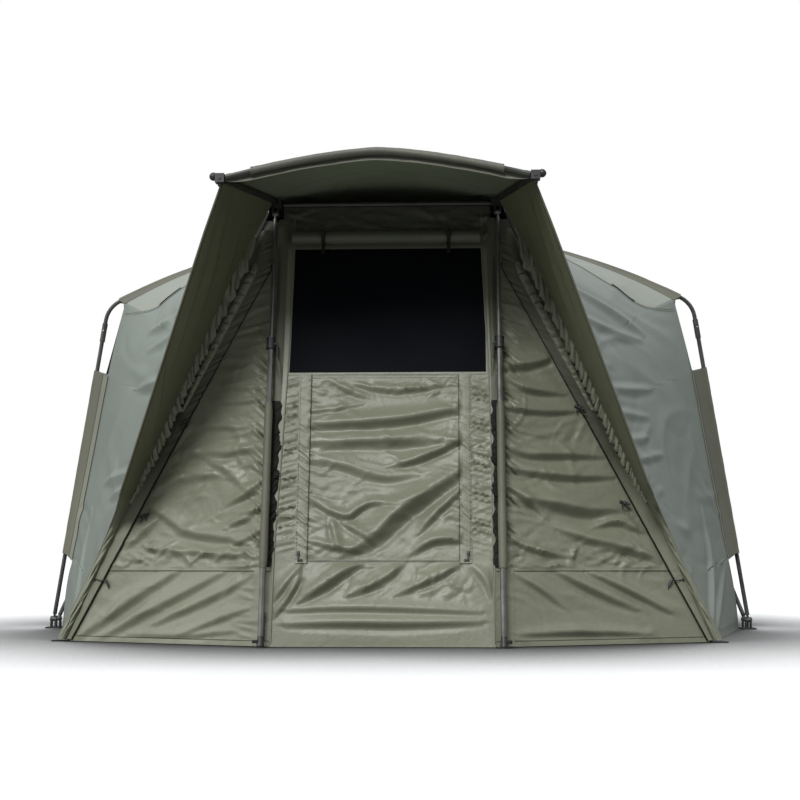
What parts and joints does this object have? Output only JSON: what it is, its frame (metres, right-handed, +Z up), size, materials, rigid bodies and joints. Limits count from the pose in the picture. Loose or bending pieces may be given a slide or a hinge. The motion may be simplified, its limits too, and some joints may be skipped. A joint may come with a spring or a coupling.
{
  "type": "bivvy tent",
  "caption": "Low one-man fishing shelter with a peaked hood, folding tube ribs, telescopic front poles, a zipped front with a drop-down door and a mesh window.",
  "frame": {"origin": "Middle of the footprint, on the ground.", "axes": "+X to the right when one faces the door, -Y out of the door, +Z up."},
  "size_m": [2.6806, 2.487, 1.5409],
  "materials": {
    "skin_green": "coated woven cloth, satin",
    "hood_olive": "coated woven cloth, matte",
    "wing_olive": "coated woven cloth, matte underside",
    "front_olive": "coated woven cloth, crinkled",
    "mesh_black": "fine insect mesh",
    "rib_metal": "dull grey-green coating",
    "pole_metal": "dull grey-green coating",
    "black_plastic": "moulded, matte",
    "zip_black": "zip tape and webbing",
    "slider_metal": "black enamel"
  },
  "bodies": {
    "rear_frame": {"hinge_block_left": "black_plastic", "hinge_block_right": "black_plastic", "rear_rib_side_left": "rib_metal", "rear_rib_side_right": "rib_metal", "rear_rib_top": "rib_metal", "rear_roof": "skin_green", "rear_wall": "skin_green", "rear_peg_loop_left": "zip_black", "rear_peg_loop_right": "zip_black"},
    "main_frame": {"main_rib_side_left": "rib_metal", "main_rib_side_right": "rib_metal", "main_rib_shoulder_left": "rib_metal", "main_rib_shoulder_right": "rib_metal", "main_rib_top": "rib_metal", "main_sleeve_top": "skin_green", "main_sleeve_side_left": "skin_green", "main_sleeve_side_right": "skin_green", "hub_left": "black_plastic", "hub_right": "black_plastic", "brow_arm_left": "rib_metal", "brow_arm_right": "rib_metal", "tension_bar_left": "rib_metal", "tension_bar_right": "rib_metal", "brow_corner_left": "black_plastic", "brow_corner_right": "black_plastic", "cross_bar": "rib_metal", "brow_bar": "rib_metal", "brow_sleeve": "hood_olive", "hood_roof": "hood_olive", "hood_wing_left": "wing_olive", "hood_wing_right": "wing_olive", "side_skin_left": "skin_green", "side_skin_right": "skin_green", "front_panel_left": "front_olive", "front_panel_right": "front_olive", "front_zip_left": "zip_black", "front_zip_right": "zip_black", "front_peg_loop_left": "zip_black", "front_peg_loop_right": "zip_black", "front_panel_center": "front_olive", "window_mesh": "mesh_black", "window_cover_roll": "front_olive"},
    "door": {"door_panel": "front_olive"},
    "pole_top_left": {"pole_upper_left": "pole_metal"},
    "pole_bottom_left": {"pole_lower_left": "pole_metal", "pole_clamp_left": "black_plastic", "pole_foot_left": "black_plastic"},
    "lever_left": {"clamp_lever_left": "black_plastic"},
    "zip_runner_left": {"zip_slider_left": "slider_metal"},
    "door_runner_left": {"door_slider_left": "slider_metal"},
    "toggle_body_left": {"toggle_left": "black_plastic"},
    "pole_top_right": {"pole_upper_right": "pole_metal"},
    "pole_bottom_right": {"pole_lower_right": "pole_metal", "pole_clamp_right": "black_plastic", "pole_foot_right": "black_plastic"},
    "lever_right": {"clamp_lever_right": "black_plastic"},
    "zip_runner_right": {"zip_slider_right": "slider_metal"},
    "door_runner_right": {"door_slider_right": "slider_metal"},
    "toggle_body_right": {"toggle_right": "black_plastic"}
  },
  "joints": [
    {"name": "frame_fold", "type": "hinge", "parent": "rear_frame", "child": "main_frame", "pos_m": [0, 0.2525, 0.036], "axis": [-1, 0, 0], "range_deg": [0, 34], "deforming": ["rear_roof"]},
    {"name": "door_fold", "type": "hinge", "parent": "main_frame", "child": "door", "pos_m": [0, -0.85557, 0.258], "axis": [1, 0, 0], "range_deg": [0, 115]},
    {"name": "pole_swing_left", "type": "hinge", "parent": "main_frame", "child": "pole_top_left", "pos_m": [-0.357, -0.6885, 1.365], "axis": [-1, 0, 0], "range_deg": [0, 60]},
    {"name": "pole_slide_left", "type": "slide", "parent": "pole_top_left", "child": "pole_bottom_left", "axis": [0, 0.1753, 0.9845], "range_m": [0, 0.35]},
    {"name": "lever_turn_left", "type": "hinge", "parent": "pole_bottom_left", "child": "lever_left", "pos_m": [-0.3387, -0.76625, 0.92826], "axis": [0, -1, 0], "range_deg": [0, 110]},
    {"name": "zip_run_left", "type": "slide", "parent": "main_frame", "child": "zip_runner_left", "axis": [0.4171, -0.0557, 0.9072], "range_m": [0, 1]},
    {"name": "door_zip_run_left", "type": "slide", "parent": "main_frame", "child": "door_runner_left", "axis": [0, 0.1753, 0.9845], "range_m": [0, 0.55]},
    {"name": "toggle_turn_left", "type": "hinge", "parent": "main_frame", "child": "toggle_body_left", "pos_m": [-0.2, -0.72707, 1.28848], "axis": [0, -0.9845, 0.1753], "range_deg": [-85, 85]},
    {"name": "pole_swing_right", "type": "hinge", "parent": "main_frame", "child": "pole_top_right", "pos_m": [0.357, -0.6885, 1.365], "axis": [-1, 0, 0], "range_deg": [0, 60]},
    {"name": "pole_slide_right", "type": "slide", "parent": "pole_top_right", "child": "pole_bottom_right", "axis": [0, 0.1753, 0.9845], "range_m": [0, 0.35]},
    {"name": "lever_turn_right", "type": "hinge", "parent": "pole_bottom_right", "child": "lever_right", "pos_m": [0.3387, -0.76625, 0.92826], "axis": [0, 1, 0], "range_deg": [0, 110]},
    {"name": "zip_run_right", "type": "slide", "parent": "main_frame", "child": "zip_runner_right", "axis": [-0.4171, -0.0557, 0.9072], "range_m": [0, 1]},
    {"name": "door_zip_run_right", "type": "slide", "parent": "main_frame", "child": "door_runner_right", "axis": [0, 0.1753, 0.9845], "range_m": [0, 0.55]},
    {"name": "toggle_turn_right", "type": "hinge", "parent": "main_frame", "child": "toggle_body_right", "pos_m": [0.2, -0.72707, 1.28848], "axis": [0, -0.9845, 0.1753], "range_deg": [-85, 85]}
  ]
}
